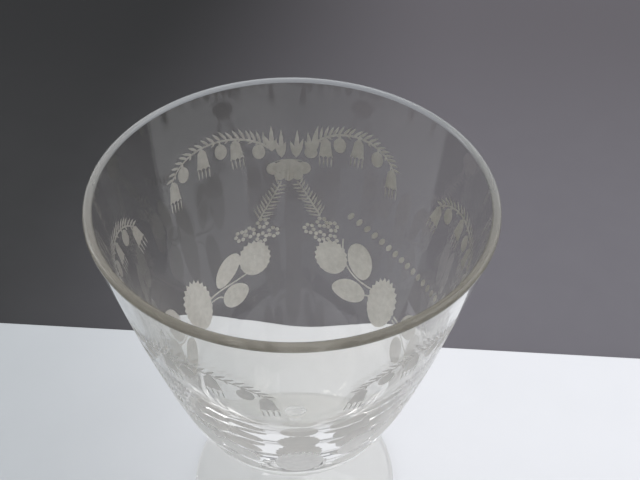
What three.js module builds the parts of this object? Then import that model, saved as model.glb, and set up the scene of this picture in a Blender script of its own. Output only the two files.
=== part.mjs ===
// Stemmed drinking goblet of clear blown glass: a tapering bowl, a slender stem and a round foot.
// The three pieces are made apart and joined while hot, each seated flat on the one below.
// Millimetres, +Z up, origin at the centre of the foot's resting plane.
import * as THREE from "three";

// Bowl
const RIM_RADIUS = 42; // outer radius at the middle of the rounded lip
const WALL = 1.85; // thickness of the blown wall, and of the lip
const WALL_TAPER = 0.1645; // how far the wall comes in for each millimetre down
const STRAIGHT_DEPTH = 23.3; // conical part of the wall, down from the middle of the lip
const BOWL_DEPTH = 89.7; // top of the lip to the seat on the stem
const SHOULDER_REACH = 50.5; // pull of the wall on the outer curve
const BOTTOM_REACH = 23.6; // pull of the bottom on the outer curve
const FLOOR_THICKNESS = 8; // glass gathered under the middle of the bowl
const INNER_SHOULDER_REACH = 40; // the same two pulls on the inner curve, where the wall grows thick
const INNER_BOTTOM_REACH = 16;

// Stem
const STEM_LENGTH = 25.8; // between its two seats
const STEM_RADIUS = 3.05; // at its narrowest
const BOWL_SEAT_RADIUS = 4; // where the bowl sits on the stem
const FOOT_SEAT_RADIUS = 5; // where the stem sits on the foot
const TOP_FLARE = 3.4; // length of the flare under the bowl
const BOTTOM_FLARE = 9; // length of the flare above the foot
const FLARE_TURN = 0.2; // share of a flare's length in which it bends away from its seat
const FLARE_RUN = 0.6; // share of its length after which it is nearly straight

// Foot
const FOOT_RADIUS = 32.4;
const FOOT_HEIGHT = 8.5; // resting plane to the stem's seat
const FOOT_EDGE = 2.2; // thickness of the rounded edge
const FOOT_SLOPE = 0.1; // rise of the top at the edge for each millimetre inwards
const REST_RING_WIDTH = 2; // flat ring that the goblet stands on
const TOP_SLOPE = 0.49; // fall of the top beside the stem's seat for each millimetre outwards
const TOP_REACH = 6; // pull of that slope
const UNDERSIDE_HOLLOW = 1.4; // how far the underside is drawn up at the pontil mark
const UNDERSIDE_FLAT = 0.6; // share of the way to the ring in which it stays drawn up
const UNDERSIDE_TURN = 0.85; // share of the way to the ring at which it comes down
const PONTIL_RADIUS = 7.5; // ground and polished hollow where the rod was broken off
const PONTIL_DEPTH = 0.7;

const AROUND = 64; // facets round the bowl and the foot
const STEM_AROUND = 32;

const glass = { color: 0xe9ece8, roughness: 0.03, metalness: 0, transparent: true, opacity: 0.35 };

const point = (radius, height) => new THREE.Vector2(radius, height);

// Points along a quarter or half circle in the profile plane, both ends included.
function arcPoints(centre, radius, fromDegrees, toDegrees, steps) {
  const points = [];
  for (let i = 0; i <= steps; i += 1) {
    const angle = THREE.MathUtils.degToRad(fromDegrees + ((toDegrees - fromDegrees) * i) / steps);
    points.push(point(centre.x + radius * Math.cos(angle), centre.y + radius * Math.sin(angle)));
  }
  return points;
}

// A solid of revolution about Z from a profile that runs up the outside and ends on the axis.
function turned(name, profile, around) {
  const geometry = new THREE.LatheGeometry(profile, around).rotateX(Math.PI / 2);
  const mesh = new THREE.Mesh(geometry, new THREE.MeshStandardMaterial(glass));
  mesh.name = name;
  return mesh;
}

// The bowl's seat is at height 0: a conical wall that swells into a round bottom, outside and inside.
function makeBowl() {
  const lipRadius = WALL / 2;
  const lipCentre = point(RIM_RADIUS - lipRadius, BOWL_DEPTH - lipRadius);
  const downWall = point(-WALL_TAPER, -1).normalize();
  const outward = point(-downWall.y, downWall.x);
  const straight = downWall.clone().multiplyScalar(STRAIGHT_DEPTH);
  const lipLean = THREE.MathUtils.radToDeg(Math.atan(WALL_TAPER));

  const outerTop = lipCentre.clone().addScaledVector(outward, lipRadius);
  const outerStart = outerTop.clone().add(straight);
  const outerCurve = new THREE.CubicBezierCurve(
    point(BOWL_SEAT_RADIUS, 0),
    point(BOTTOM_REACH, 0),
    outerStart.clone().addScaledVector(downWall, SHOULDER_REACH),
    outerStart,
  );

  const innerTop = lipCentre.clone().addScaledVector(outward, -lipRadius);
  const innerStart = innerTop.clone().add(straight);
  const innerCurve = new THREE.CubicBezierCurve(
    innerStart,
    innerStart.clone().addScaledVector(downWall, INNER_SHOULDER_REACH),
    point(INNER_BOTTOM_REACH, FLOOR_THICKNESS),
    point(0, FLOOR_THICKNESS),
  );

  return turned(
    "bowl",
    [
      point(0, 0),
      ...outerCurve.getPoints(16),
      ...arcPoints(lipCentre, lipRadius, -lipLean, 180 - lipLean, 6),
      ...innerCurve.getPoints(14),
    ],
    AROUND,
  );
}

// The side of a flare, from its seat to where the stem has its own radius. A negative reach goes down.
function flare(seatRadius, seatHeight, reach) {
  return new THREE.CubicBezierCurve(
    point(seatRadius, seatHeight),
    point(STEM_RADIUS, seatHeight + reach * FLARE_TURN),
    point(STEM_RADIUS, seatHeight + reach * FLARE_RUN),
    point(STEM_RADIUS, seatHeight + reach),
  );
}

// The stem's lower seat is at height 0. It flares out to meet the foot and the bowl.
function makeStem() {
  const aboveFoot = flare(FOOT_SEAT_RADIUS, 0, BOTTOM_FLARE).getPoints(8);
  const belowBowl = flare(BOWL_SEAT_RADIUS, STEM_LENGTH, -TOP_FLARE).getPoints(6).reverse();
  return turned("stem", [point(0, 0), ...aboveFoot, ...belowBowl, point(0, STEM_LENGTH)], STEM_AROUND);
}

// The foot stands at height 0 on a flat ring and rises in a low cone to the stem's seat.
function makeFoot() {
  const edgeRadius = FOOT_EDGE / 2;
  const edgeCentre = point(FOOT_RADIUS - edgeRadius, edgeRadius);
  const ringInside = edgeCentre.x - REST_RING_WIDTH;
  const slope = point(-1, FOOT_SLOPE).normalize();
  const edgeTop = edgeCentre.clone().add(point(slope.y, -slope.x).multiplyScalar(edgeRadius));
  const reach = (edgeTop.x - FOOT_SEAT_RADIUS) / 2;
  const underside = new THREE.CubicBezierCurve(
    point(PONTIL_RADIUS, UNDERSIDE_HOLLOW),
    point(ringInside * UNDERSIDE_FLAT, UNDERSIDE_HOLLOW),
    point(ringInside * UNDERSIDE_TURN, 0),
    point(ringInside, 0),
  );
  const top = new THREE.CubicBezierCurve(
    edgeTop,
    edgeTop.clone().addScaledVector(slope, reach),
    point(FOOT_SEAT_RADIUS + TOP_REACH, FOOT_HEIGHT - TOP_REACH * TOP_SLOPE),
    point(FOOT_SEAT_RADIUS, FOOT_HEIGHT),
  );
  const pontil = new THREE.QuadraticBezierCurve(
    point(0, UNDERSIDE_HOLLOW + PONTIL_DEPTH),
    point(PONTIL_RADIUS / 2, UNDERSIDE_HOLLOW + PONTIL_DEPTH),
    point(PONTIL_RADIUS, UNDERSIDE_HOLLOW),
  );
  const slopeDegrees = THREE.MathUtils.radToDeg(Math.atan(FOOT_SLOPE));
  return turned(
    "foot",
    [
      ...pontil.getPoints(3),
      ...underside.getPoints(6).slice(1),
      ...arcPoints(edgeCentre, edgeRadius, -90, 90 - slopeDegrees, 6),
      ...top.getPoints(10).slice(1),
      point(0, FOOT_HEIGHT),
    ],
    AROUND,
  );
}

const foot = makeFoot();
const stem = makeStem();
const bowl = makeBowl();
stem.position.z = FOOT_HEIGHT;
bowl.position.z = FOOT_HEIGHT + STEM_LENGTH;

const group = new THREE.Group();
group.add(foot, stem, bowl);

export default group;
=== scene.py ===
"""A stemmed goblet of clear blown glass, wheel-engraved with flower sprays and leafy swags."""

import math
import random

import bpy
import numpy as np
from mathutils import Matrix, Vector
from mathutils.geometry import delaunay_2d_cdt


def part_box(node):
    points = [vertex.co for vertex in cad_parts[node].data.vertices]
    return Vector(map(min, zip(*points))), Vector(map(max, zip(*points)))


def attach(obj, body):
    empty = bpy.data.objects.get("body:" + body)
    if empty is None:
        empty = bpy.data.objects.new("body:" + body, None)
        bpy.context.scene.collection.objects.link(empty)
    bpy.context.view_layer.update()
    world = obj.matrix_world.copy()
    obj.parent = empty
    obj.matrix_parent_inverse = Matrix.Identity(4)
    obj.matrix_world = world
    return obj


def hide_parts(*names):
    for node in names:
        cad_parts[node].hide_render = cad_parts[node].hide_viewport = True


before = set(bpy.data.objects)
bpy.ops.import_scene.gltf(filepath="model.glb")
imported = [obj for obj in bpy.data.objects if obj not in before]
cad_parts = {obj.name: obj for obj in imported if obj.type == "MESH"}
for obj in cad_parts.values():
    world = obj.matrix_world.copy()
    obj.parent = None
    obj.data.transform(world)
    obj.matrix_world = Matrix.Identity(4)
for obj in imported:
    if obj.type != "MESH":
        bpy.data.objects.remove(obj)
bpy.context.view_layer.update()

# Lengths below are in millimetres unless they say otherwise, and MM turns them into metres.
MM = 0.001

# The bowl, as the construction has it
WALL = 1.85
WALL_TAPER = 0.1645
STRAIGHT_DEPTH = 23.3
SHOULDER_REACH = 50.5
BOTTOM_REACH = 23.6
FLOOR_THICKNESS = 8.0
INNER_SHOULDER_REACH = 40.0
INNER_BOTTOM_REACH = 16.0

# The stem and the foot
STEM_RADIUS = 3.05
BOWL_SEAT_RADIUS = 4.0
FOOT_SEAT_RADIUS = 5.0
TOP_FLARE = 3.4
BOTTOM_FLARE = 9.0
FLARE_TURN = 0.2
FLARE_RUN = 0.6
FOOT_EDGE = 2.2
FOOT_SLOPE = 0.1
REST_RING_WIDTH = 2.0
TOP_SLOPE = 0.49
TOP_REACH = 6.0
UNDERSIDE_HOLLOW = 1.4
UNDERSIDE_FLAT = 0.6
UNDERSIDE_TURN = 0.85
PONTIL_RADIUS = 7.5
PONTIL_DEPTH = 0.7

# How finely the glass is turned
COLUMNS = 240
SEAT_POINTS = 3  # across a flat seat, from its rim to the axis
SAME_POINT = 4  # decimals to which two points that are welded agree

# How the ornament goes round
REPEATS = 3
REPEAT_DEGREES = 360 / REPEATS
FIRST_REPEAT_AT = -4.0  # degrees from straight behind the goblet, towards +X

# The engraved band, measured down the outside of the wall from the lip
BAND_TOP = 9.0
BAND_BOTTOM = 70.0
BAND_STEP = 1.2
CUT_DEPTH = 0.22
SHALLOW_CUT = 0.1
CUT_EDGE = 0.06  # depth where two cuts run into each other
CUT_CLEARANCE = 0.3  # plain wall's own points stay this far from a cut

# Finishes, as places in a piece's list of materials. The stem and the foot have only two.
GLASS, ENGRAVED, LIP, JOINT = range(4)
TURNED_SEAT = 1

bowl_low, bowl_high = (Vector(corner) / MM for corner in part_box("bowl"))
foot_low, foot_high = (Vector(corner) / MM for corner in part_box("foot"))
stem_low = Vector(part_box("stem")[0]) / MM
RIM_RADIUS = (bowl_high.x - bowl_low.x) / 2
FOOT_RADIUS = (foot_high.x - foot_low.x) / 2
LIP_TOP = bowl_high.z
BOWL_SEAT = bowl_low.z
FOOT_SEAT = stem_low.z


# Curves in the profile plane, as arrays of (radius, height)

def bezier(p0, p1, p2, p3, count):
    """Points along a cubic curve, both ends included."""
    t = np.linspace(0, 1, count)[:, None]
    p0, p1, p2, p3 = (np.asarray(p, float) for p in (p0, p1, p2, p3))
    return (1 - t) ** 3 * p0 + 3 * (1 - t) ** 2 * t * p1 + 3 * (1 - t) * t**2 * p2 + t**3 * p3


def arc(centre, radius, from_degrees, to_degrees, count):
    angle = np.radians(np.linspace(from_degrees, to_degrees, count))
    return np.asarray(centre) + radius * np.column_stack([np.cos(angle), np.sin(angle)])


def line(start, end, count):
    return np.linspace(start, end, count)


def joined(*pieces):
    """One profile from pieces that each start where the last one ends."""
    return np.vstack([pieces[0]] + [piece[1:] for piece in pieces[1:]])


def directions(curve):
    """The curve's direction at each of its points, one unit long."""
    tangent = np.gradient(curve, axis=0)
    return tangent / np.linalg.norm(tangent, axis=1)[:, None]


def bowl_profiles():
    """The outside from the lip to the seat, the lip, and the inside from the lip to the axis."""
    half = WALL / 2
    centre = np.array([RIM_RADIUS - half, LIP_TOP - half])
    down = np.array([-WALL_TAPER, -1.0])
    down /= np.linalg.norm(down)
    outward = np.array([-down[1], down[0]])
    lean = math.degrees(math.atan(WALL_TAPER))
    outer_top = centre + outward * half
    outer_start = outer_top + down * STRAIGHT_DEPTH
    outside = joined(
        line(outer_top, outer_start, count=60),
        bezier(
            outer_start,
            outer_start + down * SHOULDER_REACH,
            (BOTTOM_REACH, BOWL_SEAT),
            (BOWL_SEAT_RADIUS, BOWL_SEAT),
            count=400,
        ),
    )
    inner_top = centre - outward * half
    inner_start = inner_top + down * STRAIGHT_DEPTH
    inner_floor = BOWL_SEAT + FLOOR_THICKNESS
    inside = joined(
        line(inner_top, inner_start, count=18),
        bezier(
            inner_start,
            inner_start + down * INNER_SHOULDER_REACH,
            (INNER_BOTTOM_REACH, inner_floor),
            (0, inner_floor),
            count=90,
        ),
    )
    lip = arc(centre, half, -lean, 180 - lean, count=19)
    return outside, lip, inside


def flare(seat_radius, seat_height, reach, count):
    """The side of a flare, from its seat to where the stem has its own radius."""
    return bezier(
        (seat_radius, seat_height),
        (STEM_RADIUS, seat_height + reach * FLARE_TURN),
        (STEM_RADIUS, seat_height + reach * FLARE_RUN),
        (STEM_RADIUS, seat_height + reach),
        count,
    )


def stem_profile():
    """Up the stem, from the middle of its lower seat to the middle of its upper one."""
    foot, top = FOOT_SEAT, BOWL_SEAT
    return joined(
        line((0, foot), (FOOT_SEAT_RADIUS, foot), SEAT_POINTS),
        flare(FOOT_SEAT_RADIUS, foot, BOTTOM_FLARE, count=30),
        line((STEM_RADIUS, foot + BOTTOM_FLARE), (STEM_RADIUS, top - TOP_FLARE), count=24),
        flare(BOWL_SEAT_RADIUS, top, -TOP_FLARE, count=20)[::-1],
        line((BOWL_SEAT_RADIUS, top), (0, top), SEAT_POINTS),
    )


def foot_profile():
    """From the middle of the underside out to the edge, and back over the top to the seat."""
    half = FOOT_EDGE / 2
    edge = np.array([FOOT_RADIUS - half, half])
    ring_inside = edge[0] - REST_RING_WIDTH
    slope = np.array([-1.0, FOOT_SLOPE])
    slope /= np.linalg.norm(slope)
    edge_top = edge + np.array([slope[1], -slope[0]]) * half
    reach = (edge_top[0] - FOOT_SEAT_RADIUS) / 2
    hollow = UNDERSIDE_HOLLOW
    pontil = bezier(
        (0, hollow + PONTIL_DEPTH),
        (PONTIL_RADIUS / 3, hollow + PONTIL_DEPTH),
        (PONTIL_RADIUS * 2 / 3, hollow + PONTIL_DEPTH * 2 / 3),
        (PONTIL_RADIUS, hollow),
        count=12,
    )
    underside = bezier(
        (PONTIL_RADIUS, hollow),
        (ring_inside * UNDERSIDE_FLAT, hollow),
        (ring_inside * UNDERSIDE_TURN, 0),
        (ring_inside, 0),
        count=30,
    )
    top = bezier(
        edge_top,
        edge_top + slope * reach,
        (FOOT_SEAT_RADIUS + TOP_REACH, FOOT_SEAT - TOP_REACH * TOP_SLOPE),
        (FOOT_SEAT_RADIUS, FOOT_SEAT),
        count=50,
    )
    return joined(
        pontil,
        underside,
        line((ring_inside, 0), (edge[0], 0), count=3),
        arc(edge, half, -90, 90 - math.degrees(math.atan(FOOT_SLOPE)), count=15),
        top,
        line((FOOT_SEAT_RADIUS, FOOT_SEAT), (0, FOOT_SEAT), SEAT_POINTS),
    )


class Skin:
    """Points, outward directions and faces of one glass piece, which end up as one closed mesh."""

    def __init__(self):
        self.points = []
        self.normals = []
        self.faces = []
        self.finishes = []
        self.facing = []

    def add(self, points, normals, faces, finishes, facing=None):
        """Faces index into points. facing holds each face's own corner directions, or None."""
        first = len(self.points)
        self.points.extend(map(tuple, points))
        self.normals.extend(map(tuple, normals))
        for face in faces:
            self.faces.append([first + corner for corner in face])
        self.finishes.extend(finishes)
        self.facing.extend(facing or [None] * len(faces))

    def turn(self, profile, finish=GLASS, side=1):
        """A surface of revolution. side is 1 where outside is to the right of the profile's way."""
        tangent = directions(profile)
        outward = side * np.column_stack([tangent[:, 1], -tangent[:, 0]])
        angles = np.radians(FIRST_REPEAT_AT + np.arange(COLUMNS) * 360 / COLUMNS)
        sine, cosine = np.sin(angles), np.cos(angles)
        points, normals, faces = [], [], []
        for (radius, height), (across, up) in zip(profile, outward):
            heights, ups = np.full(COLUMNS, height), np.full(COLUMNS, up)
            points.append(np.column_stack([radius * sine, radius * cosine, heights]))
            normals.append(np.column_stack([across * sine, across * cosine, ups]))
        for row in range(len(profile) - 1):
            here, below = row * COLUMNS, (row + 1) * COLUMNS
            for column in range(COLUMNS):
                beside = (column + 1) % COLUMNS
                faces.append([here + column, here + beside, below + beside, below + column])
        self.add(np.vstack(points), np.vstack(normals), faces, [finish] * len(faces))

    def mesh(self, name, materials):
        """Welds the points, turns every face outwards and gives the glass its true directions."""
        points = np.array(self.points)
        normals = np.array(self.normals)
        _, first, weld = np.unique(
            np.round(points, SAME_POINT), axis=0, return_index=True, return_inverse=True
        )
        weld = weld.reshape(-1)
        corners, finishes, facings = [], [], []
        for face, finish, facing in zip(self.faces, self.finishes, self.facing):
            own = normals[face] if facing is None else np.asarray(facing)
            kept, kept_own = [], []
            for corner, direction in zip(face, own):
                if weld[corner] not in kept:
                    kept.append(weld[corner])
                    kept_own.append(direction)
            if len(kept) < 3:
                continue
            a, b, c = (points[first[k]] for k in kept[:3])
            if np.dot(np.cross(b - a, c - a), normals[face].sum(axis=0)) < 0:
                kept.reverse()
                kept_own.reverse()
            corners.append(kept)
            finishes.append(finish)
            facings.extend(kept_own)
        mesh = bpy.data.meshes.new(name)
        mesh.from_pydata([tuple(points[k] * MM) for k in first], [], corners)
        for material in materials:
            mesh.materials.append(material)
        mesh.polygons.foreach_set("material_index", finishes)
        mesh.polygons.foreach_set("use_smooth", [True] * len(corners))
        mesh.normals_split_custom_set([tuple(d) for d in facings])
        mesh.update()
        piece = bpy.data.objects.new(name, mesh)
        bpy.context.scene.collection.objects.link(piece)
        return piece


# The ornament. A motif is drawn flat, in millimetres to the right and down from its own foot,
# and then laid on the wall, whose places are (degrees round, millimetres down from the lip).

outer_profile, lip_profile, inner_profile = bowl_profiles()
outer_steps = np.linalg.norm(np.diff(outer_profile, axis=0), axis=1)
outer_run = np.concatenate([[0], np.cumsum(outer_steps)])
outer_tangent = directions(outer_profile)


def wall_at(down):
    """Radius, height and outward direction of the outside wall at distances down from the lip."""
    radius = np.interp(down, outer_run, outer_profile[:, 0])
    height = np.interp(down, outer_run, outer_profile[:, 1])
    across = np.interp(down, outer_run, -outer_tangent[:, 1])
    up = np.interp(down, outer_run, outer_tangent[:, 0])
    return radius, height, across, up


class Motif:
    """One cut: its outline, and the points of its bed with their depths."""

    def __init__(self, outline, bed):
        self.outline = [tuple(p) for p in outline]
        self.bed = [(tuple(p), depth) for p, depth in bed]

    def changed(self, change):
        return Motif([change(p) for p in self.outline], [(change(p), d) for p, d in self.bed])

    def moved(self, right, below):
        return self.changed(lambda p: (p[0] + right, p[1] + below))

    def at(self, degrees, down, turn=0.0):
        """Lays the motif on the wall, turned clockwise in degrees from hanging straight down."""
        cosine, sine = math.cos(math.radians(turn)), math.sin(math.radians(turn))
        radius = float(wall_at(down)[0])

        def laid(p):
            right = p[0] * cosine - p[1] * sine
            below = p[0] * sine + p[1] * cosine
            return degrees + math.degrees(right / radius), down + below

        return self.changed(laid)

    def mirrored(self):
        return self.changed(lambda p: (REPEAT_DEGREES - p[0], p[1]))


# Shapes of leaves and petals
BLADE_FULLNESS = 0.8  # below 1 fills the blade out and puts its widest part nearer the foot
TOOTH_SHIFT = 0.9  # how much deeper the teeth bite above than at the sides
POINT_SHARPNESS = 6  # more makes a leaf's point narrower
BED_RINGS = (  # shares: distance from the middle, depth in a flute, depth on a ridge beside it
    (0.82, 0.6, 0.15),
    (0.6, 0.95, 0.3),
    (0.3, 1.0, 1.0),
)
FLUTED_BEYOND = 0.5  # rings further out have a point at each tooth and each notch
OUTER_RING, MIDDLE_RING = 16, 8  # points in a ring that has no flutes

# A bell, in shares of half its width across and of its length down
BELL_SIDE = ((0.22, 0.0), (0.62, 0.18), (0.74, 0.5), (0.86, 0.8), (1.0, 1.0))
BELL_SCALLOPS = (0.66, 0.33, 0.0, -0.33, -0.66)
SCALLOP_IN, SCALLOP_OUT = 0.93, 1.03
BELL_BED_ROWS = (0.3, 0.55, 0.8)
BELL_BED_COLUMNS = ((-0.38, 1.0), (0.0, 0.25), (0.38, 1.0))  # place across, and depth
STAMEN_FOOT = 0.97
STAMEN_SPACING = 0.27  # in bell widths
STAMEN_WIDTH = 0.42  # in millimetres

# What hangs from a spray, and how far it sways to either side in degrees
BELL_DROP = 0.4
BUD_DROP = 3.0
SWAY = 3

# Leaves along a stalk, which hand cutting makes uneven
LEAF_STAGGER = 0.25  # those on one side sit this share of a step further along
LEAF_SHRINK = 0.35  # how much shorter they are at the tip of the stalk
LEAF_SIZES = (0.88, 1.12)
LEAF_WAVER = 5  # degrees

# Tufts and small flowers
TUFT_SCALE = 1.15  # a leaf's length against the one that its plan gives
TUFT_SPREAD = 17  # degrees from leaf to leaf
TUFT_WAVER = 4
SMALL_FLOWER = 1.95  # about its radius
PETALS = 6
PETAL_SHARE = 0.64  # of a petal's width in that
PETAL_REACH = 0.7  # and of its distance from the flower's middle


def blade(length, width, depth=SHALLOW_CUT, steps=4):
    """A narrow pointed leaf that hangs from its foot, with a groove down its middle."""
    right, left, bed = [], [], []
    for i in range(1, steps):
        t = i / steps
        half = width / 2 * math.sin(math.pi * t**BLADE_FULLNESS) ** BLADE_FULLNESS
        right.append((half, length * t))
        left.append((-half, length * t))
        bed.append(((0, length * t), depth))
    return Motif([(0, 0)] + right + [(0, length)] + left[::-1], bed)


def rounded(width, height, teeth=0, bite=0.0, point=0.0, depth=CUT_DEPTH, steps=28):
    """A round or oval leaf about its middle: plain, pointed below, or toothed and fluted."""
    outline, bed = [], []
    count = teeth * 2 if teeth else steps
    for i in range(count):
        angle = 2 * math.pi * i / count
        reach = 1 - bite * (i % 2) * (1 - TOOTH_SHIFT * math.cos(angle))
        reach += point * max(0.0, math.cos(angle)) ** POINT_SHARPNESS
        place = (reach * width / 2 * math.sin(angle), reach * height / 2 * math.cos(angle))
        outline.append(place)
    for share, flute, ridge in BED_RINGS:
        around = MIDDLE_RING
        if share > FLUTED_BEYOND:
            around = count if teeth else OUTER_RING
        for i in range(around):
            angle = 2 * math.pi * i / around
            place = (share * width / 2 * math.sin(angle), share * height / 2 * math.cos(angle))
            bed.append((place, depth * (ridge if teeth and i % 2 else flute)))
    bed.append(((0, 0), depth))
    return Motif(outline, bed)


def ribbon(centre, width_start, width_end, depth=SHALLOW_CUT):
    """A stalk along points on the wall, which tapers from one width to the other."""
    centre = np.asarray(centre, float)
    scale = math.radians(1) * wall_at(centre[:, 1])[0]
    flat = np.column_stack([centre[:, 0] * scale, centre[:, 1]])
    tangent = directions(flat)
    side = np.column_stack([-tangent[:, 1], tangent[:, 0]])
    half = np.linspace(width_start, width_end, len(flat))[:, None] / 2
    to_wall = np.column_stack([scale, np.ones(len(flat))])
    left = (flat + side * half) / to_wall
    right = (flat - side * half) / to_wall
    return Motif(list(left) + list(right[::-1]), [(p, depth) for p in centre[1:-1]])


def bell(length, width, stamens, stamen_length):
    """A hanging bell flower: a fluted tube with a scalloped mouth, and thin stamens below."""
    half = width / 2
    side = [(x * half, y * length) for x, y in BELL_SIDE]
    mouth = []
    for i, x in enumerate(BELL_SCALLOPS):
        mouth.append((half * x, length * (SCALLOP_OUT if i % 2 else SCALLOP_IN)))
    outline = side + mouth + [(-x, y) for x, y in side[::-1]]
    bed = []
    for y in BELL_BED_ROWS:
        for x, sunk in BELL_BED_COLUMNS:
            bed.append(((x * half, y * length), CUT_DEPTH * sunk))
    cuts = [Motif(outline, bed)]
    for i in range(stamens):
        across = (i - (stamens - 1) / 2) * width * STAMEN_SPACING
        stamen = blade(stamen_length, STAMEN_WIDTH, steps=3)
        cuts.append(stamen.moved(across, length * STAMEN_FOOT))
    return cuts


def along(curve, share):
    """A place on a drawn curve and its direction in degrees from straight down, clockwise."""
    scale = math.radians(1) * float(wall_at(float(np.mean(curve[:, 1])))[0])
    position = share * (len(curve) - 1)

    def at(where):
        return [np.interp(where, range(len(curve)), curve[:, k]) for k in (0, 1)]

    place, ahead, behind = at(position), at(position + 0.5), at(position - 0.5)
    right = (ahead[0] - behind[0]) * scale
    down = ahead[1] - behind[1]
    return place[0], place[1], math.degrees(math.atan2(-right, down))


def leafy(curve, draw, count, length, width, lean, sides, start=0.04, end=0.98):
    """Narrow leaves along a stalk, which lean towards its tip by the given angle from it."""
    cuts = []
    for side in sides:
        for i in range(count):
            share = start + (end - start) * (i + LEAF_STAGGER * (side > 0)) / count
            degrees, down, heading = along(curve, share)
            size = length * (1 - LEAF_SHRINK * share) * draw.uniform(*LEAF_SIZES)
            turn = heading + side * lean + draw.uniform(-LEAF_WAVER, LEAF_WAVER)
            cuts.append(blade(size, width).at(degrees, down, turn))
    return cuts


def spray(curve, hanging, draw):
    """An arching stalk with spiky leaves on it and bells and buds hanging by turns below it."""
    cuts = [ribbon(curve, width_start=0.7, width_end=0.35)]
    cuts += leafy(curve, draw, count=19, length=3.9, width=0.75, lean=44, sides=(-1,))
    cuts += leafy(curve, draw, count=9, length=1.8, width=0.5, lean=46, sides=(1,))
    for kind, share, turn in hanging:
        degrees, down, _ = along(curve, share)
        swing = turn + draw.uniform(-SWAY, SWAY)
        if kind == "bell":
            for cut in bell(length=5.4, width=4.1, stamens=4, stamen_length=3.1):
                cuts.append(cut.at(degrees, down + BELL_DROP, swing))
        else:
            bud = rounded(width=3.5, height=4.3).moved(0, BUD_DROP)
            cuts.append(bud.at(degrees, down, swing))
            cuts.append(blade(length=2.0, width=0.6).at(degrees, down, swing))
    return cuts


def tuft(degrees, down, lengths, draw):
    """A fan of upright pointed leaves."""
    cuts = []
    for i, length in enumerate(lengths):
        fan = (i - (len(lengths) - 1) / 2) * TUFT_SPREAD
        turn = 180 + fan + draw.uniform(-TUFT_WAVER, TUFT_WAVER)
        cuts.append(blade(length * TUFT_SCALE, width=1.3).at(degrees, down, turn))
    return cuts


def small_flower(degrees, down, turn):
    """Round petals about a middle that stays clear."""
    cuts = []
    across = SMALL_FLOWER * PETAL_SHARE
    reach = SMALL_FLOWER * PETAL_REACH
    for i in range(PETALS):
        angle = math.radians(turn + i * 360 / PETALS)
        petal = rounded(across, across, depth=SHALLOW_CUT, steps=10)
        petal = petal.moved(reach * math.sin(angle), reach * math.cos(angle))
        cuts.append(petal.at(degrees, down))
    return cuts


CALYX_DOWN = 21.8  # from the lip
CALYX_LOBES = (  # each lobe's middle to the right and below, its width and its height
    (4.2, 2.7, 4.0, 3.7),
    (2.5, 4.7, 3.2, 3.4),
    (0.0, 5.1, 2.9, 3.2),
    (0.0, 2.5, 8.8, 4.4),
)
CALYX_SEAM = 0.3  # degrees beside the calyx's middle that have no bed points


def calyx_half():
    """The right half of the shell-like calyx that the sprays and fronds spring from."""
    cuts = []
    for across, below, width, height in CALYX_LOBES:
        cuts.append(rounded(width, height, steps=24).moved(across, below))
    rim = bezier((-4.4, 1.0), (-3.2, -0.3), (3.2, -0.3), (4.4, 1.0), count=13)
    lower_rim = bezier((4.4, 1.0), (3.1, 0.25), (-3.1, 0.25), (-4.4, 1.0), count=13)
    cuts.append(Motif(list(rim) + list(lower_rim[1:-1]), []))
    halves = []
    for cut in cuts:
        laid = cut.at(0.0, CALYX_DOWN)
        bed = [(p, depth) for p, depth in laid.bed if p[0] > CALYX_SEAM]
        halves.append(Motif(clipped(laid.outline), bed))
    return halves


def clipped(outline):
    """The part of an outline at or beyond 0 degrees, where one repeat ends."""
    kept = []
    for (x0, y0), (x1, y1) in zip(outline, outline[1:] + outline[:1]):
        if x0 >= 0:
            kept.append((x0, y0))
        if (x0 < 0) != (x1 < 0):
            kept.append((0.0, y0 + (y1 - y0) * x0 / (x0 - x1)))
    return kept


# The plan of the ornament on either side of a calyx. Places are degrees from the calyx and rim
# radii down from the lip. Both sides are drawn to the calyx's right, and the left one is mirrored.
RIGHT_SIDE = {
    "arch": ((10, 0.41), (18, 0.27), (38, 0.28), (45, 0.47)),
    # a bell or a bud, its share of the way along the arch, and its turn
    "hanging": (
        ("bell", 0.16, 0),
        ("bud", 0.31, -4),
        ("bell", 0.5, -2),
        ("bud", 0.7, -6),
        ("bell", 0.93, -12),
    ),
    # place, and the lengths of the leaves
    "tufts": ((3.2, 0.51, (4.5, 7.0, 5.2)), (9.0, 0.48, (3.6, 5.5, 7.4, 4.0))),
    "tuft_buds": ((9.0, 0.47),),
    "frond": ((14.4, 0.93), (11.0, 0.86), (7.0, 0.76), (3.6, 0.68)),
    "small_flowers": ((9.5, 1.04), (15.5, 0.98), (15, 1.09), (21, 1.0), (21.5, 1.1)),
    # width and height, then place and turn
    "flower": (10.4, 11.6, 22, 1.235, -20),
    # the same with the point's share of the height between them
    "leaves": ((8.2, 11.2, 0.06, 38, 1.19, -24), (7.4, 11.0, 0.1, 36, 1.45, 80)),
    "stalk": ((27, 1.07), (27, 1.3), (38, 1.37), (50, 1.34)),
    "leaf_stalk": ((43, 1.45), (45, 1.43), (47, 1.41), (50, 1.4)),
}
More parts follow.
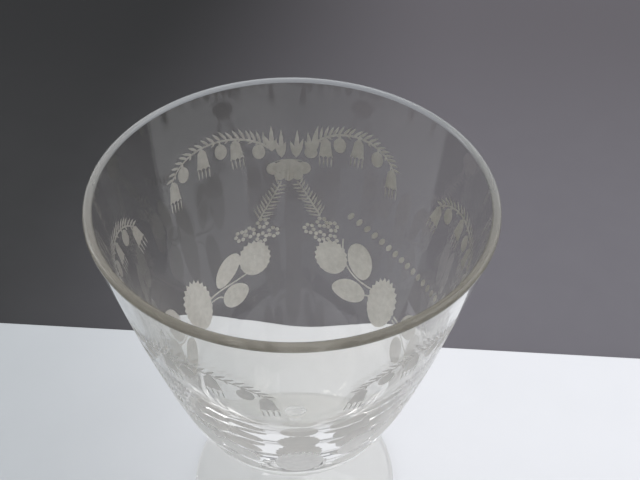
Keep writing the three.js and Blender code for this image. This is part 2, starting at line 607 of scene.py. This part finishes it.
LEFT_SIDE = {
    "arch": ((8, 0.43), (17, 0.3), (42, 0.26), (51, 0.46)),
    "hanging": (
        ("bud", 0.14, 8),
        ("bell", 0.33, 0),
        ("bud", 0.45, -3),
        ("bell", 0.6, -2),
        ("bud", 0.79, -8),
        ("bell", 0.95, -10),
    ),
    "tufts": ((2.8, 0.51, (4.2, 7.2, 5.0)), (6.6, 0.46, (3.4, 6.4, 4.4))),
    "tuft_buds": (),
    "frond": ((14.2, 0.95), (11.0, 0.88), (6.5, 0.78), (3.2, 0.68)),
    "small_flowers": ((8, 1.06), (13, 0.98), (14, 1.09), (19.5, 1.03), (24.5, 1.04)),
    "flower": (10.2, 11.6, 19.0, 1.235, -14),
    "leaves": ((6.2, 11.4, 0.05, 35.0, 1.25, -50), (7.2, 8.8, 0.12, 34.5, 1.465, 98)),
    "stalk": ((25, 1.34), (33, 1.38), (40, 1.36), (50, 1.37)),
    "leaf_stalk": ((42, 1.43), (44, 1.4), (46, 1.4), (50, 1.4)),
}
FLOWER_TEETH = 19
BIG_FLOWER_TEETH = 23
TOOTH_BITE = 0.08
BIG_FLOWER_AT = ((58.5, 1.375), (60.6, 1.325), (60.6, 1.325))  # one for each repeat

# The row of lens cuts between two swags
LENS_REPEAT = 0  # the repeat that has it
LENSES = 15
LENS_SPREAD = 62  # degrees round the bowl from the first to the last
LENS_DOWN = 0.98  # rim radii down at the middle of the row
LENS_SAG = 0.1  # rim radii that the row hangs lower in its middle than at its ends
LENS_TURN = 24  # degrees that the middle one leans
LENS_FAN = 20  # degrees that the first one leans more than the last
LENS_WAVER = 4


def wall_curve(places, count=24):
    """A curve on the wall from four places given as (degrees, rim radii down)."""
    return bezier(*((degrees, down * RIM_RADIUS) for degrees, down in places), count)


def side_of_calyx(plan, draw):
    """The ornament on one side of a calyx, as far as the big flower at the bottom of the swag."""
    cuts = calyx_half()
    cuts += spray(wall_curve(plan["arch"]), plan["hanging"], draw)
    for degrees, down, lengths in plan["tufts"]:
        cuts += tuft(degrees, down * RIM_RADIUS, lengths, draw)
    for degrees, down in plan["tuft_buds"]:
        cuts.append(rounded(width=3.6, height=3.4).at(degrees, down * RIM_RADIUS))
    frond = wall_curve(plan["frond"])
    cuts.append(ribbon(frond, width_start=0.6, width_end=0.35))
    cuts += leafy(frond, draw, count=10, length=3.7, width=0.52, lean=54, sides=(1, -1), start=0.0)
    for degrees, down in plan["small_flowers"]:
        cuts += small_flower(degrees, down * RIM_RADIUS, draw.uniform(0, 60))
    width, height, degrees, down, turn = plan["flower"]
    flower = rounded(width, height, teeth=FLOWER_TEETH, bite=TOOTH_BITE)
    cuts.append(flower.at(degrees, down * RIM_RADIUS, turn))
    for width, height, point, degrees, down, turn in plan["leaves"]:
        cuts.append(rounded(width, height, point=point).at(degrees, down * RIM_RADIUS, turn))
    cuts.append(ribbon(wall_curve(plan["stalk"]), width_start=0.45, width_end=0.6))
    cuts.append(ribbon(wall_curve(plan["leaf_stalk"], count=8), width_start=0.45, width_end=0.45))
    return cuts


def lens_row(draw):
    """A plain row of small lens cuts that hangs between two swags."""
    cuts = []
    for i in range(LENSES):
        offset = (i - (LENSES - 1) / 2) / (LENSES - 1)
        degrees = REPEAT_DEGREES / 2 + offset * LENS_SPREAD
        down = (LENS_DOWN - 4 * LENS_SAG * offset**2) * RIM_RADIUS
        turn = LENS_TURN - offset * LENS_FAN + draw.uniform(-LENS_WAVER, LENS_WAVER)
        lens = rounded(width=1.5, height=2.7, depth=SHALLOW_CUT, steps=14)
        cuts.append(lens.at(degrees, down, turn))
    return cuts


def engraved_repeat(repeat, draw):
    """All cuts of one repeat, from one calyx's middle to the next one's."""
    cuts = side_of_calyx(RIGHT_SIDE, draw)
    cuts += [cut.mirrored() for cut in side_of_calyx(LEFT_SIDE, draw)]
    degrees, down = BIG_FLOWER_AT[repeat]
    flower = rounded(width=11.6, height=16.8, teeth=BIG_FLOWER_TEETH, bite=TOOTH_BITE)
    cuts.append(flower.at(degrees, down * RIM_RADIUS))
    if repeat == LENS_REPEAT:
        cuts += lens_row(draw)
    return cuts


# Cutting the ornament into the wall. One repeat of the band is laid flat, in millimetres across
# and down, divided into triangles round the cuts, and wrapped back with each cut sunk in the wall.

BAND_RADIUS = 0.85  # of the wall about the middle of the band, in rim radii
FLAT_SCALE = math.radians(1) * RIM_RADIUS * BAND_RADIUS  # millimetres across for each degree
REPEAT_WIDTH = REPEAT_DEGREES * FLAT_SCALE
ON_SIDE = 1e-4  # a point this near a side of the repeat lies on it
NO_LENGTH = 1e-9  # a direction shorter than this is none
WHOLE_BAND = 0  # the division keeps the triangles outside the cuts, too
MERGE_WITHIN = 1e-5  # points nearer to each other than this become one


def covered(outline, points, margin):
    """Which points lie inside an outline or within the margin of its corners."""
    low, high = outline.min(axis=0) - margin, outline.max(axis=0) + margin
    near = np.flatnonzero(np.all((points > low) & (points < high), axis=1))
    found = np.zeros(len(points), bool)
    x0, y0 = outline.T
    x1, y1 = np.roll(outline, -1, axis=0).T
    for k in near:
        px, py = points[k]
        spans = (y0 > py) != (y1 > py)
        crossing = x0[spans] + (py - y0[spans]) * (x1 - x0)[spans] / (y1 - y0)[spans]
        reach = np.hypot(x0 - px, y0 - py).min()
        found[k] = np.count_nonzero(crossing > px) % 2 == 1 or reach < margin
    return found


def flat_outline(cut):
    """A cut's outline on the flat band, with its inside always on the same hand."""
    outline = np.array([(degrees * FLAT_SCALE, down) for degrees, down in cut.outline])
    ahead = np.roll(outline, -1, axis=0)
    if np.sum(outline[:, 0] * ahead[:, 1] - outline[:, 1] * ahead[:, 0]) < 0:
        outline = outline[::-1]
    return outline


def plain_wall_points(outlines):
    """An even grid over one repeat of the flat band, without the points that a cut covers."""
    columns = COLUMNS // REPEATS + 1
    rows = round((BAND_BOTTOM - BAND_TOP) / BAND_STEP) + 1
    grid = np.array(
        [(REPEAT_DEGREES * i / (columns - 1) * FLAT_SCALE, down)
         for down in np.linspace(BAND_TOP, BAND_BOTTOM, rows) for i in range(columns)]
    )
    column = np.tile(np.arange(columns), rows)
    row = np.repeat(np.arange(rows), columns)
    border = (column == 0) | (column == columns - 1) | (row == 0) | (row == rows - 1)
    hidden = np.zeros(len(grid), bool)
    for outline in outlines:
        hidden |= covered(outline, grid, CUT_CLEARANCE)
    return grid[border | ~hidden]


def divided(cuts):
    """Triangles of the flat band: points, their depths, corners, and which ones are engraved."""
    outlines = [flat_outline(cut) for cut in cuts]
    points = [Vector(p) for p in plain_wall_points(outlines)]
    polygons = []
    for outline in outlines:
        polygons.append(list(range(len(points), len(points) + len(outline))))
        points += [Vector(p) for p in outline]
    sunk = {}
    for cut in cuts:
        for (degrees, down), depth in cut.bed:
            sunk[len(points)] = depth
            points.append(Vector((degrees * FLAT_SCALE, down)))
    flat, _, triangles, sources, _, owners = delaunay_2d_cdt(
        points, [], polygons, WHOLE_BAND, MERGE_WITHIN, True
    )
    flat = np.array([tuple(p) for p in flat])
    engraved = [bool(owner) for owner in owners]
    on_edge = np.zeros(len(flat), bool)
    for triangle, cut in zip(triangles, engraved):
        if not cut:
            on_edge[list(triangle)] = True
    depth = np.zeros(len(flat))
    for k, origins in enumerate(sources):
        if not on_edge[k]:
            depth[k] = max([sunk.get(origin, 0.0) for origin in origins] + [CUT_EDGE])
    depth[(flat[:, 0] < ON_SIDE) | (flat[:, 0] > REPEAT_WIDTH - ON_SIDE)] = 0.0
    return flat, depth, triangles, engraved


def engraved_band(skin, repeat, draw):
    """Cuts one repeat of the ornament into the outside wall and adds it to the bowl's skin."""
    flat, depth, triangles, engraved = divided(engraved_repeat(repeat, draw))
    radius, height, across, up = wall_at(flat[:, 1])
    angle = np.radians(FIRST_REPEAT_AT + repeat * REPEAT_DEGREES + flat[:, 0] / FLAT_SCALE)
    out = np.column_stack([across * np.sin(angle), across * np.cos(angle), up])
    out /= np.linalg.norm(out, axis=1)[:, None]
    place = np.column_stack([radius * np.sin(angle), radius * np.cos(angle), height])
    place -= out * depth[:, None]
    bed_normal = np.zeros_like(out)
    faces, finishes = [], []
    for triangle, cut in zip(triangles, engraved):
        a, b, c = (place[k] for k in triangle)
        facing = np.cross(b - a, c - a)
        if np.linalg.norm(facing) < NO_LENGTH:
            continue
        if np.dot(facing, out[triangle[0]]) < 0:
            facing = -facing
        if cut:
            bed_normal[list(triangle)] += facing
        faces.append(list(triangle))
        finishes.append(ENGRAVED if cut else GLASS)
    length = np.linalg.norm(bed_normal, axis=1)[:, None]
    bed_normal = np.where(length > NO_LENGTH, bed_normal / np.maximum(length, NO_LENGTH), out)
    facings = []
    for face, finish in zip(faces, finishes):
        facings.append(bed_normal[face] if finish == ENGRAVED else None)
    skin.add(place, out, faces, finishes, facings)


# Materials. A pair of colours is the darkest and the lightest of one tone.

GLASS_IOR = 1.5
BOWL_TINT = (0.9, 0.893, 0.865)
FOOT_TINT = (0.945, 0.94, 0.92)
LIP_TINT = (0.225, 0.205, 0.16)
# Painted light on the lip: the warm colour of light that has run inside the wall, and behind it a
# painted highlight, where the back of the lip reflects the light behind it.
LIP_PAINTED_HIGHLIGHT = (0.54, 0.56, 0.57)
# The engraving's tone, and the same darkened by painted shade for the cuts higher up the wall.
LOWER_CUTS = ((0.52, 0.505, 0.47), (0.83, 0.81, 0.77))
UPPER_CUTS_PAINTED_SHADE = ((0.38, 0.365, 0.335), (0.6, 0.58, 0.54))
# The pale card's colour, and on its left the same greyed by painted shade.
CARD_PAINTED_SHADE_LEFT = ((0.445, 0.465, 0.47), (0.475, 0.495, 0.5))
CARD_RIGHT = ((0.75, 0.75, 0.76), (0.78, 0.78, 0.79))
# The dark ground's colour on the left, lighter on the right by painted light, and darker further
# back by painted shade.
GROUND_LEFT = ((0.042, 0.042, 0.042), (0.05, 0.05, 0.05))
GROUND_PAINTED_LIGHT_RIGHT = ((0.158, 0.15, 0.163), (0.172, 0.164, 0.177))
GROUND_FAR_PAINTED_SHADE_LEFT = (0.026, 0.026, 0.026)
GROUND_FAR_PAINTED_SHADE_RIGHT = (0.12, 0.111, 0.119)


def new_material(name):
    material = bpy.data.materials.new(name)
    material.use_nodes = True
    nodes = material.node_tree.nodes
    return material, nodes, material.node_tree.links, nodes["Principled BSDF"]


def noise(nodes, links, per_metre, detail, stretch=(1, 1, 1)):
    """Noise in the object's own space, in features per metre."""
    place = nodes.new("ShaderNodeTexCoord")
    mapping = nodes.new("ShaderNodeMapping")
    mapping.inputs["Scale"].default_value = stretch
    texture = nodes.new("ShaderNodeTexNoise")
    texture.inputs["Scale"].default_value = per_metre
    texture.inputs["Detail"].default_value = detail
    links.new(place.outputs["Object"], mapping.inputs["Vector"])
    links.new(mapping.outputs["Vector"], texture.inputs["Vector"])
    return texture.outputs["Fac"]


def add_bump(nodes, links, shader, height, strength, distance):
    bump = nodes.new("ShaderNodeBump")
    bump.inputs["Strength"].default_value = strength
    bump.inputs["Distance"].default_value = distance * MM
    links.new(height, bump.inputs["Height"])
    links.new(bump.outputs["Normal"], shader.inputs["Normal"])


def ramp(nodes, links, value, from_range, to_range, kind="LINEAR"):
    """Maps one range of a value onto another, and holds it there beyond the ends."""
    span = nodes.new("ShaderNodeMapRange")
    span.interpolation_type = kind
    span.inputs["From Min"].default_value, span.inputs["From Max"].default_value = from_range
    span.inputs["To Min"].default_value, span.inputs["To Max"].default_value = to_range
    links.new(value, span.inputs["Value"])
    return span.outputs["Result"]


def gradient(nodes, links, direction, low, high):
    """0 to 1 between two distances along a direction in the object's own space."""
    place = nodes.new("ShaderNodeTexCoord")
    reach = nodes.new("ShaderNodeVectorMath")
    reach.operation = "DOT_PRODUCT"
    reach.inputs[1].default_value = direction
    links.new(place.outputs["Object"], reach.inputs[0])
    return ramp(nodes, links, reach.outputs["Value"], (low * MM, high * MM), (0, 1), "SMOOTHSTEP")


def blend(nodes, links, factor, start, end):
    """A colour between two, each given as a colour or as another node's output."""
    mix = nodes.new("ShaderNodeMix")
    mix.data_type = "RGBA"
    links.new(factor, mix.inputs["Factor"])
    for socket, colour in (("A", start), ("B", end)):
        if isinstance(colour, tuple):
            mix.inputs[socket].default_value = (*colour, 1)
        else:
            links.new(colour, mix.inputs[socket])
    return mix.outputs["Result"]


def clear_glass(name, tint):
    """Hand-blown glass: slow waves in the surface and faint smears."""
    material, nodes, links, shader = new_material(name)
    shader.inputs["Base Color"].default_value = (*tint, 1)
    shader.inputs["Transmission Weight"].default_value = 1.0
    shader.inputs["IOR"].default_value = GLASS_IOR
    smears = noise(nodes, links, per_metre=90, detail=3, stretch=(1, 1, 0.25))
    roughness = ramp(nodes, links, smears, (0.5, 0.8), (0.0, 0.06))
    links.new(roughness, shader.inputs["Roughness"])
    waves = noise(nodes, links, per_metre=45, detail=1, stretch=(1, 1, 0.4))
    add_bump(nodes, links, shader, waves, strength=0.25, distance=1.2)
    return material


def lip_glass():
    """The fire-polished lip, where light that has run inside the wall comes out warm and soft, with
    a painted highlight towards the back.
    """
    material, nodes, links, shader = new_material("lip_glass")
    # Painted highlight: the lip grows lighter towards the back.
    towards_painted_highlight = gradient(nodes, links, (0, 1, 0), low=-35, high=42)
    tint = blend(nodes, links, towards_painted_highlight, LIP_TINT, LIP_PAINTED_HIGHLIGHT)
    links.new(tint, shader.inputs["Base Color"])
    shader.inputs["Transmission Weight"].default_value = 0.6
    shader.inputs["IOR"].default_value = GLASS_IOR
    smears = noise(nodes, links, per_metre=120, detail=3)
    roughness = ramp(nodes, links, smears, (0.3, 0.8), (0.14, 0.26))
    links.new(roughness, shader.inputs["Roughness"])
    return material


def engraved_glass():
    """Glass left matte by the wheel, with painted shade that darkens the cuts higher up the wall,
    about the sprays, against the flowers below.
    """
    material, nodes, links, shader = new_material("engraved_glass")
    shader.inputs["Transmission Weight"].default_value = 0.05
    shader.inputs["IOR"].default_value = GLASS_IOR
    tone = noise(nodes, links, per_metre=700, detail=4)
    deep = blend(nodes, links, tone, *LOWER_CUTS)
    # Painted shade: the cuts higher up the wall are blended towards a darker tone.
    light = blend(nodes, links, tone, *UPPER_CUTS_PAINTED_SHADE)
    towards_painted_shade = gradient(nodes, links, (0, 0, 1), low=73, high=85)
    links.new(blend(nodes, links, towards_painted_shade, deep, light), shader.inputs["Base Color"])
    roughness = ramp(nodes, links, tone, (0.3, 0.7), (0.42, 0.62))
    links.new(roughness, shader.inputs["Roughness"])
    strokes = noise(nodes, links, per_metre=3000, detail=2, stretch=(1, 1, 0.2))
    add_bump(nodes, links, shader, strokes, strength=0.5, distance=0.06)
    return material


def fused_joint():
    """The join inside the hot glass, where there is nothing to see."""
    material, _, _, shader = new_material("fused_joint")
    shader.inputs["Alpha"].default_value = 0.0
    return material


def pale_floor():
    """White card with painted shade that greys it towards the left, away from the lamp."""
    material, nodes, links, shader = new_material("pale_floor")
    shader.inputs["Roughness"].default_value = 0.55
    fibres = noise(nodes, links, per_metre=40, detail=5)
    left = blend(nodes, links, fibres, *CARD_PAINTED_SHADE_LEFT)
    right = blend(nodes, links, fibres, *CARD_RIGHT)
    # Painted shade: the card greys towards the left.
    painted_light_across = gradient(nodes, links, (1, 0.25, 0), low=-130, high=70)
    links.new(blend(nodes, links, painted_light_across, left, right), shader.inputs["Base Color"])
    return material


def dark_backdrop():
    """Dark card, with painted light that greys it towards the right and the front, and painted
    shade that darkens it further back.
    """
    material, nodes, links, shader = new_material("dark_backdrop")
    shader.inputs["Roughness"].default_value = 0.9
    shader.inputs["Specular IOR Level"].default_value = 0.1
    fibres = noise(nodes, links, per_metre=60, detail=6)
    left = blend(nodes, links, fibres, *GROUND_LEFT)
    right = blend(nodes, links, fibres, *GROUND_PAINTED_LIGHT_RIGHT)
    # Painted light: the ground greys towards the right, where the lamp is.
    painted_light_across = gradient(nodes, links, (1, -0.15, 0), low=-160, high=60)
    near = blend(nodes, links, painted_light_across, left, right)
    far = blend(nodes, links, painted_light_across, GROUND_FAR_PAINTED_SHADE_LEFT, GROUND_FAR_PAINTED_SHADE_RIGHT)
    # Painted shade: the ground darkens further back.
    painted_falloff_away = gradient(nodes, links, (0, 1, 0), low=50, high=360)
    links.new(blend(nodes, links, painted_falloff_away, near, far), shader.inputs["Base Color"])
    return material


# Pieces

def keep(piece, node):
    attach(piece, "root")
    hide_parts(node)


def wall_rows(top, bottom, count):
    """The outside wall's profile between two distances down from the lip."""
    return np.array([wall_at(down)[:2] for down in np.linspace(top, bottom, count)])


def make_bowl(glass, lip, engraved, joint):
    skin = Skin()
    draw = random.Random(7)
    skin.turn(wall_rows(0, BAND_TOP, count=9), side=-1)
    skin.turn(lip_profile, finish=LIP)
    for repeat in range(REPEATS):
        engraved_band(skin, repeat, draw)
    skin.turn(wall_rows(BAND_BOTTOM, outer_run[-1], count=40), side=-1)
    seat = line((BOWL_SEAT_RADIUS, BOWL_SEAT), (0, BOWL_SEAT), SEAT_POINTS)
    skin.turn(seat, finish=JOINT, side=-1)
    skin.turn(inner_profile)
    piece = skin.mesh("bowl_glass", [glass, engraved, lip, joint])
    keep(piece, "bowl")


def make_turned(name, node, profile, glass, joint, lower_seat=False):
    """A turned piece with a flat seat above, and one below if asked, fused to its neighbours."""
    skin = Skin()
    if lower_seat:
        skin.turn(profile[:SEAT_POINTS], finish=TURNED_SEAT)
        profile = profile[SEAT_POINTS - 1 :]
    skin.turn(profile[: 1 - SEAT_POINTS])
    skin.turn(profile[-SEAT_POINTS:], finish=TURNED_SEAT)
    piece = skin.mesh(name, [glass, joint])
    keep(piece, node)


# The stage, the light and the camera

FLOOR_BEHIND = 56.0  # pale floor behind the goblet's axis, before the dark backdrop starts
FLOOR_SIDE = 420.0
FLOOR_FRONT = 520.0
FLOOR_STEP = 3.0  # the dark ground lies this much lower
FLOOR_GAP = 0.05  # air between the card and the glass that stands on it
FLOOR_TURN = -2.9  # degrees that the card lies askew to the camera
CARD_EDGE = 0.8  # radius of a card's softened edge
GROUND_REACH = 4000.0

SKY_COLOUR = (0.93, 0.95, 1.0)
SKY_STRENGTH = 0.98
GOBLET_MIDDLE = (0, 0, 70)
GLASS_BOUNCES = 32

PHOTO_WIDTH = 640
FOCAL_PIXELS = 675
SENSOR_WIDTH = 36
TILT = 43.91
ROLL = 1.965
HEADING = -1.363
CAMERA_PLACE = (3.08, -107.46, 211.34)
CAMERA_NEAR = 10  # nothing nearer than this is seen


def make_slab(name, low, high, turn, material):
    """A thin slab with softened edges, turned about the goblet's axis."""
    mesh = bpy.data.meshes.new(name)
    x0, y0, z0 = low
    x1, y1, z1 = high
    corners = [(x, y, z) for z in (z0, z1) for x, y in ((x0, y0), (x1, y0), (x1, y1), (x0, y1))]
    sides = [(0, 3, 2, 1), (4, 5, 6, 7), (0, 1, 5, 4), (1, 2, 6, 5), (2, 3, 7, 6), (3, 0, 4, 7)]
    mesh.from_pydata([tuple(c * MM for c in corner) for corner in corners], [], sides)
    mesh.materials.append(material)
    slab = bpy.data.objects.new(name, mesh)
    slab.rotation_euler.z = math.radians(turn)
    bpy.context.scene.collection.objects.link(slab)
    softened = slab.modifiers.new("softened_edges", "BEVEL")
    softened.width = CARD_EDGE * MM
    softened.segments = 3


def make_stage():
    make_slab(
        "pale_floor",
        (-FLOOR_SIDE, -FLOOR_FRONT, -FLOOR_STEP),
        (FLOOR_SIDE, FLOOR_BEHIND, -FLOOR_GAP),
        FLOOR_TURN,
        pale_floor(),
    )
    make_slab(
        "dark_ground",
        (-GROUND_REACH, -GROUND_REACH, -2 * FLOOR_STEP),
        (GROUND_REACH, GROUND_REACH, -FLOOR_STEP),
        0,
        dark_backdrop(),
    )


def area_light(name, place, width, height, power):
    """A rectangular lamp that faces the middle of the goblet, with its power in watts."""
    lamp = bpy.data.lights.new(name, "AREA")
    lamp.shape = "RECTANGLE"
    lamp.size = width * MM
    lamp.size_y = height * MM
    lamp.energy = power
    holder = bpy.data.objects.new(name, lamp)
    holder.location = Vector(place) * MM
    aim = Vector(GOBLET_MIDDLE) * MM - holder.location
    holder.rotation_euler = aim.to_track_quat("-Z", "Y").to_euler()
    bpy.context.scene.collection.objects.link(holder)


def make_light():
    world = bpy.data.worlds.new("studio")
    world.use_nodes = True
    background = world.node_tree.nodes["Background"]
    background.inputs["Color"].default_value = (*SKY_COLOUR, 1)
    background.inputs["Strength"].default_value = SKY_STRENGTH
    bpy.context.scene.world = world
    area_light("key_window", (800, 100, 900), width=900, height=900, power=3)
    area_light("fill_window", (-800, 300, 500), width=120, height=700, power=1)


def let_light_run_in_glass():
    """Light is turned back inside thick glass many times, and stays sharp where it comes out."""
    cycles = bpy.context.scene.cycles
    cycles.max_bounces = GLASS_BOUNCES
    cycles.transmission_bounces = GLASS_BOUNCES
    cycles.glossy_bounces = GLASS_BOUNCES
    cycles.transparent_max_bounces = GLASS_BOUNCES
    cycles.blur_glossy = 0.0


def make_camera():
    lens = bpy.data.cameras.new("camera")
    lens.sensor_width = SENSOR_WIDTH
    lens.lens = FOCAL_PIXELS * SENSOR_WIDTH / PHOTO_WIDTH
    lens.clip_start = CAMERA_NEAR * MM
    camera = bpy.data.objects.new("camera", lens)
    turn = (
        Matrix.Rotation(math.radians(HEADING), 4, "Z")
        @ Matrix.Rotation(math.radians(90 - TILT), 4, "X")
        @ Matrix.Rotation(math.radians(ROLL), 4, "Z")
    )
    camera.matrix_world = Matrix.Translation(Vector(CAMERA_PLACE) * MM) @ turn
    bpy.context.scene.collection.objects.link(camera)
    bpy.context.scene.camera = camera


bpy.context.scene.view_settings.view_transform = "Standard"
make_camera()
make_stage()
make_light()
let_light_run_in_glass()

bowl_clear = clear_glass("clear_glass", BOWL_TINT)
stem_clear = clear_glass("stem_clear_glass", FOOT_TINT)
foot_clear = clear_glass("foot_clear_glass", FOOT_TINT)
fused = fused_joint()
make_bowl(bowl_clear, lip_glass(), engraved_glass(), fused)
make_turned("stem_glass", "stem", stem_profile(), stem_clear, fused, lower_seat=True)
make_turned("foot_glass", "foot", foot_profile(), foot_clear, fused)
